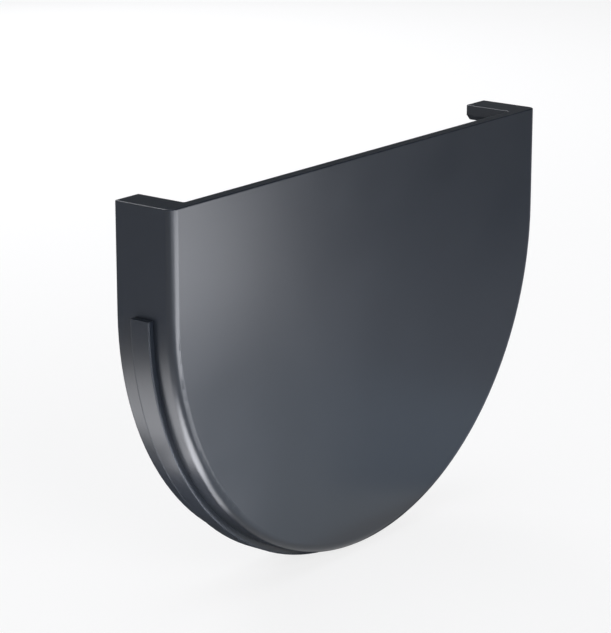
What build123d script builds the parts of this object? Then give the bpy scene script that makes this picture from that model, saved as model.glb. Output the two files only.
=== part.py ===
from build123d import *
import os
from math import degrees

# End cap that closes a half-round rainwater gutter: one plastic moulding, in millimetres.
# The origin is on the gutter's axis, on the face that the end of the gutter stops against.
# X runs across the gutter, +Y along it and out of the cap's open side, and +Z is up.

# The gutter that the cap fits
gutter_radius = 60.0  # outside of the half-round
gutter_rim_height = 18.7  # top of the gutter's edges, above its axis
socket_clearance = 0.25  # room between the gutter and the cap, all round

# The end plate, and the skirt that wraps the gutter
plate_wall = 2.74
skirt_wall = 2.25
socket_depth = 11.6  # from the stop face to the rim
front_edge_radius = 1.95  # between the plate's face and the skirt

# The two flanges that hook over the gutter's edges
flange_thickness = 3.6
flange_reach = 4.57  # from the skirt's inner wall
flange_lead_in = 1.25  # bevel that lets the gutter's edge slip under
flange_corner_radius = 0.4  # at both ends of the bevel

# The raised band round the skirt's lower half, hollow behind as the seat of a seal
band_start = 2.35  # from the stop face
band_width = 4.7
band_height = 1.32
band_cheek = 0.85  # wall beside the seat, and at its two ends
band_corner_radius = 0.2

edge_break = 0.25  # small radius along the top and round the rim

# Sizes that follow from those above
socket_radius = gutter_radius + socket_clearance
skirt_radius = socket_radius + skirt_wall
flange_underside = gutter_rim_height + socket_clearance
top_height = flange_underside + flange_thickness
mouth_half_width = socket_radius - flange_reach
overall_depth = plate_wall + socket_depth
root_radius = socket_clearance  # no more, so that a square-cut gutter still meets the stop face
band_overlap = skirt_wall / 2  # how far the band's section runs into the skirt, to fuse with it
seat_start = band_start + band_cheek
seat_width = band_width - 2 * band_cheek
seat_floor_radius = socket_radius + band_height  # leaves the skirt's own wall under the band
seat_end_angle = degrees(band_cheek / skirt_radius)

os.makedirs("parts", exist_ok=True)

with BuildPart() as end_cap:
    # Block of the outside: a half circle, carried up by straight sides to a level top
    with BuildSketch(Plane.XZ.offset(plate_wall)):
        with BuildLine():
            outer_bottom = ThreePointArc((-skirt_radius, 0), (0, -skirt_radius), (skirt_radius, 0))
            Polyline(
                outer_bottom @ 1,
                (skirt_radius, top_height),
                (-skirt_radius, top_height),
                outer_bottom @ 0,
            )
        make_face()
    extrude(amount=-overall_depth)

    # Socket for the gutter, cut from the rim to the stop face and narrowed at the top by the flanges
    with BuildSketch(Plane.XZ) as socket:
        with BuildLine():
            socket_bottom = ThreePointArc((-socket_radius, 0), (0, -socket_radius), (socket_radius, 0))
            socket_side = Polyline(
                socket_bottom @ 1,
                (socket_radius, flange_underside),
                (mouth_half_width + flange_lead_in, flange_underside),
                (mouth_half_width, flange_underside + flange_lead_in),
                (mouth_half_width, top_height),
                (0, top_height),
            )
            mirror(socket_side, about=Plane.YZ)
        make_face()
        _, underside_corners, bevel_corners, _ = socket.vertices().group_by(Axis.Y)
        left_root, *underside_bevels, right_root = underside_corners.sort_by(Axis.X)
        fillet([*bevel_corners, *underside_bevels], flange_corner_radius)
        fillet([left_root, right_root], root_radius)
    extrude(amount=-socket_depth, mode=Mode.SUBTRACT)

    # Rounded front edge down both sides and round the bottom, but not along the top
    plate_face = end_cap.faces().sort_by(Axis.Y)[0]
    fillet(plate_face.edges().sort_by(Axis.Z)[:-1], front_edge_radius)

    # Inside corner where the socket's walls meet the stop face
    stop_face = end_cap.faces().filter_by(Plane.XZ).sort_by(Axis.Y)[1]
    fillet(stop_face.edges().sort_by(Axis.Z)[:-1], root_radius)

    # Broken edges along the top and round the rim
    top_edges = end_cap.edges().group_by(Axis.Z)[-1]
    rim_edges = end_cap.edges().group_by(Axis.Y)[-1]
    fillet(top_edges + (rim_edges - top_edges), edge_break)

    # Raised band, its section turned half a circle about the gutter's axis from side to side
    with BuildSketch(Plane.XY) as band:
        with Locations((skirt_radius - band_overlap, band_start)):
            Rectangle(band_overlap + band_height, band_width, align=Align.MIN)
        fillet(band.vertices().group_by(Axis.X)[-1], band_corner_radius)
    revolve(axis=Axis.Y, revolution_arc=180)

    # Seat behind the band, turned the same way but stopped short of the band's ends
    with BuildSketch(Plane.XY.rotated((0, seat_end_angle, 0))):
        with Locations((gutter_radius, seat_start)):
            Rectangle(seat_floor_radius - gutter_radius, seat_width, align=Align.MIN)
    revolve(axis=Axis.Y, revolution_arc=180 - 2 * seat_end_angle, mode=Mode.SUBTRACT)

end_cap.part.label = "end_cap"
export_step(end_cap.part, "parts/end_cap.step")
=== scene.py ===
# %% [markdown]
# # A gutter end cap, finished and lit
#
# The object is one plastic moulding: a flat end plate, and a skirt that slips over the end of a half-round
# gutter. Its shape is already right in the CAD model, so Blender leaves the mesh alone. What is left to
# make is all that the eye reads as plastic: its colour, its skin, its gloss, and the light that shows them.

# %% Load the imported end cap
import math

import bpy
import numpy as np
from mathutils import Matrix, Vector


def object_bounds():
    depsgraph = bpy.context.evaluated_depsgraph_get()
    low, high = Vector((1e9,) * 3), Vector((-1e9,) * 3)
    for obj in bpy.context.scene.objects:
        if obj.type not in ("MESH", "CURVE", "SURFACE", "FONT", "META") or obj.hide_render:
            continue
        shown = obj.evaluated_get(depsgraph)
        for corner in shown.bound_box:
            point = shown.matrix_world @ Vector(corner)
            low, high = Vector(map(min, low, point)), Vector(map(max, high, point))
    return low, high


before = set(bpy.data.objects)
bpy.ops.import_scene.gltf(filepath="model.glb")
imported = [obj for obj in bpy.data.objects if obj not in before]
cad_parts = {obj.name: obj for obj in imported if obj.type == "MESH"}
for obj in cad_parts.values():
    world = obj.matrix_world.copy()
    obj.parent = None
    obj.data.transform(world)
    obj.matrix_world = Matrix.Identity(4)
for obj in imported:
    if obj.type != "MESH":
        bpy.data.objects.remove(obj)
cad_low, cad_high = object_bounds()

scene = bpy.context.scene
scene.view_settings.view_transform = "Standard"
end_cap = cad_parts["end_cap"]
cad_size = cad_high - cad_low
print("end cap", len(end_cap.data.polygons), "faces,", [round(side * 1000, 1) for side in cad_size], "mm")

# %% [markdown]
# ## The camera
#
# The picture looks at the cap from its left and a little above, with a long lens, so the top edge runs up
# to the right and the half circle of the plate shows as a leaning oval. A camera could be dragged into
# place by eye. An orbit is easier to reason about: a point to look at, two angles and a distance. Azimuth 0
# looks along +Y, square on to the plate.

# %% Camera on its orbit
PHOTO_SIZE = (611, 633)
SENSOR = 36.0
FOCAL_PIXELS = 2617.4
AZIMUTH = math.radians(-52.0)
ELEVATION = math.radians(15.856)
DISTANCE = 0.53096
AIM = Vector((-0.02162, -0.00279, -0.00727))


def orbit(azimuth, elevation):
    """Unit vector from the aim outwards: straight in front at azimuth 0, turned about Z, then raised."""
    level = math.cos(elevation)
    return Vector((math.sin(azimuth) * level, -math.cos(azimuth) * level, math.sin(elevation)))


camera_data = bpy.data.cameras.new("catalogue_camera")
camera_data.sensor_width = SENSOR
camera_data.lens = FOCAL_PIXELS * SENSOR / max(PHOTO_SIZE)
camera_data.clip_start = 0.01
camera_data.clip_end = 20.0
camera = bpy.data.objects.new("catalogue_camera", camera_data)
scene.collection.objects.link(camera)
toward_camera = orbit(AZIMUTH, ELEVATION)
camera.location = AIM + toward_camera * DISTANCE
camera.rotation_euler = (-toward_camera).to_track_quat("-Z", "Y").to_euler()
scene.camera = camera
print("lens", round(camera_data.lens, 1), "mm, camera at", [round(c, 4) for c in camera.location])

# %% [markdown]
# ## The floor
#
# A plain sheet lies level with the lowest point of the cap. It is large, so that its far edge is lost at
# the horizon, and it isn't part of the object. Blender's own plane would do, but a function of four corners
# also makes the dark cards that lie on the floor further down.

# %% Plain sheet
FLOOR_Z = cad_low.z
FLOOR_HALF = 6.0


def flat_sheet(name, corners, height):
    """Level sheet with four corners: each corner is a place in plan, and all are at one height."""
    plan = np.array(corners)
    points = np.column_stack([plan, np.full(len(plan), height)])
    mesh = bpy.data.meshes.new(name)
    mesh.from_pydata(points.tolist(), [], [(0, 1, 2, 3)])
    sheet = bpy.data.objects.new(name, mesh)
    scene.collection.objects.link(sheet)
    return sheet


unit_square = np.array([(-1.0, -1.0), (1.0, -1.0), (1.0, 1.0), (-1.0, 1.0)])
floor = flat_sheet("floor", unit_square * FLOOR_HALF, FLOOR_Z)
print("floor", 2 * FLOOR_HALF, "m square at", round(FLOOR_Z * 1000, 2), "mm")

# %% [markdown]
# ## Tools for wiring
#
# A finish in Blender is a net of nodes, and it could be wired by hand in the node editor. In a script the
# same few moves come again for every finish: start a material, find the place on the object, wire two
# sockets. Each is a short function here, and one that takes a socket works in that socket's own net.

# %% Start a finish, and wire it
def wire(source, target):
    """Link from an output socket to an input socket of the same net."""
    source.id_data.links.new(source, target)


def new_finish(name):
    """Material with Blender's standard surface: returns the material and that surface."""
    finish = bpy.data.materials.new(name)
    finish.use_nodes = True
    return finish, finish.node_tree.nodes["Principled BSDF"]


def place_on(finish):
    """Position on the object itself, in metres, so that a pattern stays put when the object moves."""
    return finish.node_tree.nodes.new("ShaderNodeTexCoord").outputs["Object"]


def split_axes(position):
    """The X, Y and Z of a position, each as a socket of its own."""
    axes = position.id_data.nodes.new("ShaderNodeSeparateXYZ")
    wire(position, axes.inputs["Vector"])
    return axes.outputs


plastic, surface = new_finish("graphite_upvc")
position = place_on(plastic)
cap_x, cap_y, cap_z = split_axes(position)
print("plastic begun with", len(plastic.node_tree.nodes), "nodes")

# %% [markdown]
# ## Sums, steps and blends
#
# Where a finish changes from place to place, a mask says how much of each kind a point gets. A mask could be
# painted on the mesh. Sums and smooth steps on the position need no painting, and they stay sharp close up.

# %% Functions for masks and colours
def maths(operation, first, second=0.0):
    """One sum on two values, in the net of the first: the second is a socket or a plain number."""
    node = first.id_data.nodes.new("ShaderNodeMath")
    node.operation = operation
    wire(first, node.inputs[0])
    if isinstance(second, float):
        node.inputs[1].default_value = second
    else:
        wire(second, node.inputs[1])
    return node.outputs["Value"]


def step_between(value, start, end, first, last):
    """Smooth change from first to last as the value goes from start to end."""
    step = value.id_data.nodes.new("ShaderNodeMapRange")
    step.interpolation_type = "SMOOTHSTEP"
    step.inputs["From Min"].default_value = start
    step.inputs["From Max"].default_value = end
    step.inputs["To Min"].default_value = first
    step.inputs["To Max"].default_value = last
    wire(value, step.inputs["Value"])
    return step.outputs["Result"]


def blend_colours(factor, first, second):
    """Mix of two colours: the first where the factor is 0, and the second where it is 1."""
    mix = factor.id_data.nodes.new("ShaderNodeMix")
    mix.data_type = "RGBA"
    mix.inputs["A"].default_value = first
    mix.inputs["B"].default_value = second
    wire(factor, mix.inputs["Factor"])
    return mix.outputs["Result"]


lowered = maths("MINIMUM", cap_z)
print("first sum, the height up to the gutter's axis:", lowered.node.operation)

# %% [markdown]
# ## Where the moulding is dull
#
# On a moulding like this the outside is usually formed by the polished half of the mould, and the core that
# forms the socket is left rougher, so the inside is duller and a little paler. Faces could be picked by
# hand for a second material, but the CAD mesh stays as it is, so a mask does it. A point is inside if it is
# nearer the gutter's axis than the middle of the skirt's wall, behind the stop face, before the rim and
# below the top. Above the axis the sides are straight, so there only the distance across counts.

# %% Mask for the socket
WALL_MIDDLE = 0.0617
STOP_LIMIT = -0.0003
RIM_MARGIN = 0.0003
TOP_MARGIN = 0.00025
LIMIT_BLUR = 0.0001


def below(value, limit):
    """Mask that is 1 under a limit and 0 over it, with a smooth step between."""
    return step_between(value, limit - LIMIT_BLUR, limit + LIMIT_BLUR, 1.0, 0.0)


def above(value, limit, blur=LIMIT_BLUR):
    """Mask that is 0 under a limit and 1 over it, with a smooth step between."""
    return step_between(value, limit - blur, limit + blur, 0.0, 1.0)


across_and_down = plastic.node_tree.nodes.new("ShaderNodeCombineXYZ")
wire(cap_x, across_and_down.inputs["X"])
wire(lowered, across_and_down.inputs["Z"])
distance = plastic.node_tree.nodes.new("ShaderNodeVectorMath")
distance.operation = "LENGTH"
wire(across_and_down.outputs["Vector"], distance.inputs[0])
from_axis = distance.outputs["Value"]

inside = below(from_axis, WALL_MIDDLE)
behind_stop = above(cap_y, STOP_LIMIT)
before_rim = below(cap_y, cad_high.y - RIM_MARGIN)
below_top = below(cap_z, cad_high.z - TOP_MARGIN)
for limit in (behind_stop, before_rim, below_top):
    inside = maths("MULTIPLY", inside, limit)
print("socket mask,", len(plastic.node_tree.nodes), "nodes so far")

# %% [markdown]
# ## Dull corners on the band
#
# The raised band's long corners don't glint as polished corners would. The likely cause is the mould: a
# groove forms the band, and the corners of a groove are hard to polish. Rounder corners could hide the glint
# too, but the shape is the CAD's, so a second mask makes them duller. A point is on a corner if it is far
# from the gutter's axis, as only the band is, and also near either side of the band.

# %% Mask for the band's corners
BAND_MIDDLE = 0.0047
CORNER_OFFSET = 0.00205
CORNER_DEPTH = 0.00037
DEPTH_BLUR = 0.00015
from_middle = maths("ABSOLUTE", maths("SUBTRACT", cap_y, BAND_MIDDLE))
near_side = above(from_middle, CORNER_OFFSET)
on_band = above(from_axis, cad_high.x - CORNER_DEPTH, DEPTH_BLUR)
corner = maths("MULTIPLY", near_side, on_band)
print("corner mask,", len(plastic.node_tree.nodes), "nodes so far")

# %% [markdown]
# ## A skin that two finishes share
#
# Moulded plastic and paper both have a skin: a fine grain, which only shows where light grazes it, and slow
# patches where the surface is a little shinier or paler. A picture of a skin would have to be wrapped round
# the shape, so two noises in space make it instead, one fine and one broad. As a node group the skin is
# written once, and it serves both materials, each with its own sizes.

# %% Node group for the skin
skin = bpy.data.node_groups.new("fine_skin", "ShaderNodeTree")
skin.interface.new_socket("Position", in_out="INPUT", socket_type="NodeSocketVector")
skin_in = skin.nodes.new("NodeGroupInput")
skin_out = skin.nodes.new("NodeGroupOutput")
for layer in ("Grain", "Patches"):
    per_metre = layer + " per metre"
    skin.interface.new_socket(per_metre, in_out="INPUT", socket_type="NodeSocketFloat")
    skin.interface.new_socket(layer, in_out="OUTPUT", socket_type="NodeSocketFloat")
    noise = skin.nodes.new("ShaderNodeTexNoise")
    wire(skin_in.outputs["Position"], noise.inputs["Vector"])
    wire(skin_in.outputs[per_metre], noise.inputs["Scale"])
    wire(noise.outputs["Fac"], skin_out.inputs[layer])


def add_skin(place, grain_per_metre, patches_per_metre):
    """The skin group in the net of a place, with its two sizes: returns the grain and the patches."""
    group = place.id_data.nodes.new("ShaderNodeGroup")
    group.node_tree = skin
    group.inputs["Grain per metre"].default_value = grain_per_metre
    group.inputs["Patches per metre"].default_value = patches_per_metre
    wire(place, group.inputs["Position"])
    return group.outputs["Grain"], group.outputs["Patches"]


def add_bump(finished, height, strength, depth):
    """Bends a surface's normal by the slope of a height: a height of 1 stands for the depth, in metres."""
    bump = height.id_data.nodes.new("ShaderNodeBump")
    bump.inputs["Strength"].default_value = strength
    bump.inputs["Distance"].default_value = depth
    wire(height, bump.inputs["Height"])
    wire(bump.outputs["Normal"], finished.inputs["Normal"])


print("skin group", [item.name for item in skin.interface.items_tree])

# %% [markdown]
# ## Graphite plastic
#
# The colour goes right through the plastic: a very dark grey with some blue in it. Most of what is seen is
# not that colour but the gloss over it, so the roughness matters more than the pigment. One even roughness
# would be simpler, but no moulding is so even. Here it wanders a little from patch to patch, and a faint
# grain keeps the reflections from being glass-smooth.

# %% Colour, gloss and grain of the plastic
OUTSIDE_COLOUR = (0.0150, 0.0195, 0.0275, 1.0)
INSIDE_COLOUR = (0.0170, 0.0215, 0.0295, 1.0)
PLASTIC_IOR = 1.42
OUTSIDE_ROUGHNESS = 0.30
INSIDE_ROUGHNESS = 0.42
CORNER_ROUGHNESS = 0.35
PATCH_ROUGHNESS = 0.015
PATCH_LOW = 0.35
PATCH_HIGH = 0.65
PLASTIC_GRAIN = 3500.0
PLASTIC_PATCHES = 45.0
GRAIN_STRENGTH = 0.02
GRAIN_DEPTH = 0.00002
surface.inputs["IOR"].default_value = PLASTIC_IOR
wire(blend_colours(inside, OUTSIDE_COLOUR, INSIDE_COLOUR), surface.inputs["Base Color"])
grain, patches = add_skin(position, PLASTIC_GRAIN, PLASTIC_PATCHES)
add_bump(surface, grain, GRAIN_STRENGTH, GRAIN_DEPTH)

dullness = step_between(inside, 0.0, 1.0, OUTSIDE_ROUGHNESS, INSIDE_ROUGHNESS)
unevenness = step_between(patches, PATCH_LOW, PATCH_HIGH, -PATCH_ROUGHNESS, PATCH_ROUGHNESS)
corner_dullness = step_between(corner, 0.0, 1.0, 0.0, CORNER_ROUGHNESS)
roughness = maths("ADD", maths("ADD", dullness, unevenness), corner_dullness)
wire(roughness, surface.inputs["Roughness"])
end_cap.data.materials.clear()
end_cap.data.materials.append(plastic)
print("plastic", len(plastic.node_tree.nodes), "nodes")

# %% [markdown]
# ## Pale paper
#
# The sheet under the cap is thick paper, as in a studio. One plain colour would do at this distance. The
# skin group is already made, so the paper takes it at its own sizes: a coarser tooth, and broad patches that
# hardly show.

# %% Finish of the sheet
PALER = (0.91, 0.91, 0.91, 1.0)
DARKER = (0.89, 0.89, 0.89, 1.0)
MATT_ROUGHNESS = 0.9
PAPER_GLOSS = 0.1
PAPER_TOOTH = 1200.0
PAPER_PATCHES = 3.0
TOOTH_STRENGTH = 0.05
TOOTH_DEPTH = 0.00005
paper, paper_surface = new_finish("pale_paper")
paper_surface.inputs["Roughness"].default_value = MATT_ROUGHNESS
paper_surface.inputs["Specular IOR Level"].default_value = PAPER_GLOSS
tooth, clouds = add_skin(place_on(paper), PAPER_TOOTH, PAPER_PATCHES)
add_bump(paper_surface, tooth, TOOTH_STRENGTH, TOOTH_DEPTH)
wire(blend_colours(clouds, DARKER, PALER), paper_surface.inputs["Base Color"])
floor.data.materials.append(paper)
print("paper", len(paper.node_tree.nodes), "nodes")

# %% [markdown]
# ## A sheet lit from below
#
# Catalogue pictures have a white ground with only a trace of shadow. Stronger lamps would whiten the paper,
# but they would wash out the cap as well, so in a studio the paper lies on a light table. Here the sheet
# glows by a share, but only to the rays that show it: those of the camera and those of mirror and glass. To
# the rays that carry light on to the cap it stays plain paper. The rest of its white is paper too, and that
# takes the shadow.

# %% Light table
SHEET_GLOW = 0.8
paper_nodes = paper.node_tree.nodes
rays = paper_nodes.new("ShaderNodeLightPath").outputs
seen = rays["Is Camera Ray"]
for kind in ("Is Glossy Ray", "Is Transmission Ray"):
    seen = maths("MAXIMUM", seen, rays[kind])
glow = paper_nodes.new("ShaderNodeEmission")
backlit = paper_nodes.new("ShaderNodeMixShader")
wire(maths("MULTIPLY", seen, SHEET_GLOW), backlit.inputs["Fac"])
wire(paper_surface.outputs["BSDF"], backlit.inputs[1])
wire(glow.outputs["Emission"], backlit.inputs[2])
wire(backlit.outputs["Shader"], paper_nodes["Material Output"].inputs["Surface"])
print("light table, share", SHEET_GLOW)

# %% [markdown]
# ## The room
#
# A dark, glossy thing shows its surroundings more than itself, so the room is chosen by what the cap should
# mirror. A picture of a real studio could be wrapped round the scene, but a ramp of shades from the horizon
# to the ceiling is simpler to tune. The level faces on the cap's top mirror what stands low behind it: that
# is a dark belt, and the top reads as dark. The ceiling is bright, and the horizon is nearly as pale as the
# sheet that runs into it. The heights are in degrees above the horizon.

# %% Dome of light
CEILING = 1.5
HORIZON_TOP = 4.0
BELT_BOTTOM = 6.5
BELT_TOP = 55.0
CEILING_BOTTOM = 65.0
ceiling_colour = np.array((0.92, 0.95, 1.0)) * CEILING
horizon_colour = np.array((0.87, 0.87, 0.87))
belt_colour = np.array((0.02, 0.02, 0.02))
room = bpy.data.worlds.new("room")
scene.world = room
room.use_nodes = True
room_nodes = room.node_tree.nodes

heights = room_nodes.new("ShaderNodeValToRGB")
heights.color_ramp.interpolation = "EASE"
stops = [
    (HORIZON_TOP, horizon_colour),
    (BELT_BOTTOM, belt_colour),
    (BELT_TOP, belt_colour),
    (CEILING_BOTTOM, ceiling_colour),
]
ramp = heights.color_ramp.elements
while len(ramp) < len(stops):
    ramp.new(0.5)
for stop, (degrees, shade) in zip(ramp, stops):
    stop.position = math.sin(math.radians(degrees))
    stop.color = [*(shade / CEILING), 1.0]

direction = room_nodes.new("ShaderNodeTexCoord").outputs["Generated"]
wire(split_axes(direction)["Z"], heights.inputs["Fac"])
background = room_nodes["Background"]
background.inputs["Strength"].default_value = CEILING
wire(heights.outputs["Color"], background.inputs["Color"])
print("room", [(round(stop.position, 3), round(stop.color[1] * CEILING, 2)) for stop in ramp])

# %% [markdown]
# ## Two fills
#
# The colour of the plastic is shown by broad, even light. A sun or a spot would give hard shadows, so two
# soft boxes do it: one before the plate, and one behind the open side, so that the socket isn't a black
# hole. Both are hidden from reflections: their work is the matt part of the picture only, and the shadow.

# %% Soft boxes that fill
FILL_SIZE = 0.40
FILL_DISTANCE = 0.7
FILL_ELEVATION = math.radians(22.0)
FILL_BRIGHTNESS = 6.0
FILL_AIM = Vector((0.0, 0.0, -0.02))
LAMP_COLOUR = (0.96, 0.96, 1.0)


def soft_box(name, place, facing, width, height, brightness, colour=LAMP_COLOUR):
    """Rectangular lamp of even brightness: its power is the brightness times pi times its area."""
    data = bpy.data.lights.new(name, "AREA")
    data.shape = "RECTANGLE"
    data.size = width
    data.size_y = height
    data.energy = brightness * math.pi * width * height
    data.color = colour
    lamp = bpy.data.objects.new(name, data)
    lamp.location = place
    lamp.rotation_euler = facing.to_track_quat("-Z", "Y").to_euler()
    lamp.visible_camera = False
    scene.collection.objects.link(lamp)
    return lamp


fill_azimuths = {"front_fill": math.radians(-25.0), "rear_fill": math.radians(150.0)}
for name, azimuth in fill_azimuths.items():
    place = orbit(azimuth, FILL_ELEVATION) * FILL_DISTANCE
    fill = soft_box(name, place, FILL_AIM - place, FILL_SIZE, FILL_SIZE, FILL_BRIGHTNESS)
    fill.visible_glossy = False
    print(name, round(fill.data.energy, 2), "W")

# %% [markdown]
# ## Bright cards
#
# The gloss is drawn by what the surface mirrors, so every bright line in the picture is a card in a chosen
# place. A photographer tries cards until the line appears. Here a first place follows from the mirror rule,
# the view turned about the surface's own direction, and trial renders settle the rest. The cards are lamps
# that show in reflections only, so they draw lines on the cap and leave its matt colour alone.
# - The back card is mirrored by the small radius along the top, as a fine light line.
# - The edge cards are before the rounded front edge, and the plate card stands beyond them: the plate
#   mirrors only its end, so it is bright at the left and falls away to the right. The cool card adds a
#   faint blue to the lower part.
# - The flank cards lie on the floor to the left, where the underside of the skirt mirrors them as one soft
#   patch, and the line cards lie beside them, for the bend where the rounded edge turns into the skirt.

# %% Cards that draw the highlights
CARD_LIFT = 0.002
COOL_COLOUR = (0.5, 0.75, 1.0)
UP = Vector((0.0, 0.0, 1.0))
BACK_SIZE = 0.45
BACK_DISTANCE = 0.8
BACK_AZIMUTH = math.radians(205.0)
BACK_ELEVATION = math.radians(50.0)
back_place = orbit(BACK_AZIMUTH, BACK_ELEVATION) * BACK_DISTANCE
side_end = (-0.130, -0.074)
left_end = (-0.078, -0.100)
plate_start = (0.018, -0.100)
plate_end = (0.067, -0.100)


def standing_card(name, start, end, bottom, top, brightness):
    """Upright card between two places in plan: it faces the left hand of a walk from start to end."""
    walk = Vector((*end, 0.0)) - Vector((*start, 0.0))
    middle = Vector((*start, FLOOR_Z + (bottom + top) / 2)) + walk / 2
    return soft_box(name, middle, UP.cross(walk), walk.length, top - bottom, brightness)


def lying_card(name, across, along, brightness, colour=LAMP_COLOUR):
    """Card that lies on the floor and faces up: it spans two values of X across, and two of Y along."""
    left, right = across
    front, back = along
    middle = Vector(((left + right) / 2, (front + back) / 2, FLOOR_Z + CARD_LIFT))
    return soft_box(name, middle, UP, right - left, back - front, brightness, colour)


cards = [
    soft_box("back_card", back_place, -back_place, BACK_SIZE, BACK_SIZE, brightness=9.0),
    standing_card("edge_card", left_end, plate_start, bottom=0.0, top=0.068, brightness=10.5),
    standing_card("edge_side_card", side_end, left_end, bottom=0.040, top=0.100, brightness=2.8),
    standing_card("plate_card", plate_start, plate_end, bottom=0.023, top=0.070, brightness=7.0),
    lying_card("edge_floor_card", across=(-0.050, -0.002), along=(-0.098, -0.042), brightness=7.5),
    lying_card(
        "cool_card", across=(-0.060, 0.100), along=(-0.110, -0.010), brightness=0.36, colour=COOL_COLOUR
    ),
    lying_card("flank_card", across=(-0.110, -0.060), along=(0.012, 0.028), brightness=5.8),
    lying_card("flank_far_card", across=(-0.138, -0.070), along=(0.029, 0.070), brightness=3.9),
    lying_card("line_card", across=(-0.105, -0.060), along=(-0.022, 0.012), brightness=14.5),
    lying_card("line_end_card", across=(-0.060, -0.046), along=(-0.008, 0.010), brightness=5.0),
]
for card in cards:
    card.visible_diffuse = False
print("cards", [(card.name, round(card.data.energy, 3)) for card in cards])

# %% [markdown]
# ## Dark cards
#
# The white sheet is mirrored too, and a dark plate before a white floor would look pale and flat. Less gloss
# would help, but then the bright lines go as well. So grey cards lie on the floor where the mirrored view
# lands. They show in reflections only, and neither the camera nor the shadow knows of them. The card under
# the cap is painted shadow: the glowing sheet hides the cap's own shadow from mirror rays, and this dark
# card puts it back there, so the underside of the skirt stays dark. The other takes the edge off the white
# that the straight side mirrors.

# %% Cards that hold the reflections down
SHADE_LIFT = 0.001
# Painted shadow: the colour of the dark card that stands in for the floor's shadow under the cap.
UNDER_SHADOW_COLOUR = (0.10, 0.11, 0.13, 1.0)
FLANK_SHADE = (0.76, 0.81, 0.95, 1.0)
under_shadow_corners = [(-0.062, 0.004), (0.120, -0.014), (0.120, 0.110), (-0.062, 0.110)]
flank_corners = [(-0.45, 0.08), (-0.17, 0.08), (-0.17, 0.35), (-0.45, 0.35)]


def dark_card(name, corners, shade):
    """Matt sheet just above the floor that only reflections see: returns its material and its surface."""
    card = flat_sheet(name, corners, FLOOR_Z + SHADE_LIFT)
    card.visible_camera = False
    card.visible_diffuse = False
    card.visible_shadow = False
    card.visible_transmission = False
    finish, matt = new_finish(name)
    matt.inputs["Roughness"].default_value = MATT_ROUGHNESS
    matt.inputs["Base Color"].default_value = shade
    card.data.materials.append(finish)
    return finish, matt


# Painted shadow under the cap, seen only in reflections.
dark_card("painted_shadow_card", under_shadow_corners, UNDER_SHADOW_COLOUR)
dark_card("flank_dark_card", flank_corners, FLANK_SHADE)
print("dark cards at", round((FLOOR_Z + SHADE_LIFT) * 1000, 2), "mm")

# %% [markdown]
# ## A dark card that fades
#
# In the picture the right half of the plate darkens upwards. A point further up mirrors the floor further
# out, so a few cards in a row could give that in steps, and one card that fades from pale to dark gives it
# smoothly. It is laid along the view as the plate turns it back, from near the cap to far out on the floor.

# %% Fading card before the plate
NEAR_SHADE = (0.74, 0.77, 0.83, 1.0)
FAR_SHADE = (0.02, 0.02, 0.03, 1.0)
FADE_START = -0.090
FADE_END = -0.175
NEAR_END = 0.035
FAR_END = 0.60
LEFT_SIDE = -0.01
RIGHT_SIDE = 0.30
mirrored = Vector((-toward_camera.x, toward_camera.y)).normalized()
sideways = mirrored.orthogonal()
plate_plan = [(NEAR_END, LEFT_SIDE), (FAR_END, LEFT_SIDE), (FAR_END, RIGHT_SIDE), (NEAR_END, RIGHT_SIDE)]
plate_corners = [mirrored * far + sideways * wide for far, wide in plate_plan]
plate_finish, plate_matt = dark_card("plate_dark_card", plate_corners, NEAR_SHADE)
fade = step_between(split_axes(place_on(plate_finish))["Y"], FADE_START, FADE_END, 0.0, 1.0)
wire(blend_colours(fade, NEAR_SHADE, FAR_SHADE), plate_matt.inputs["Base Color"])
print("fading card", [[round(c, 3) for c in spot] for spot in plate_corners])
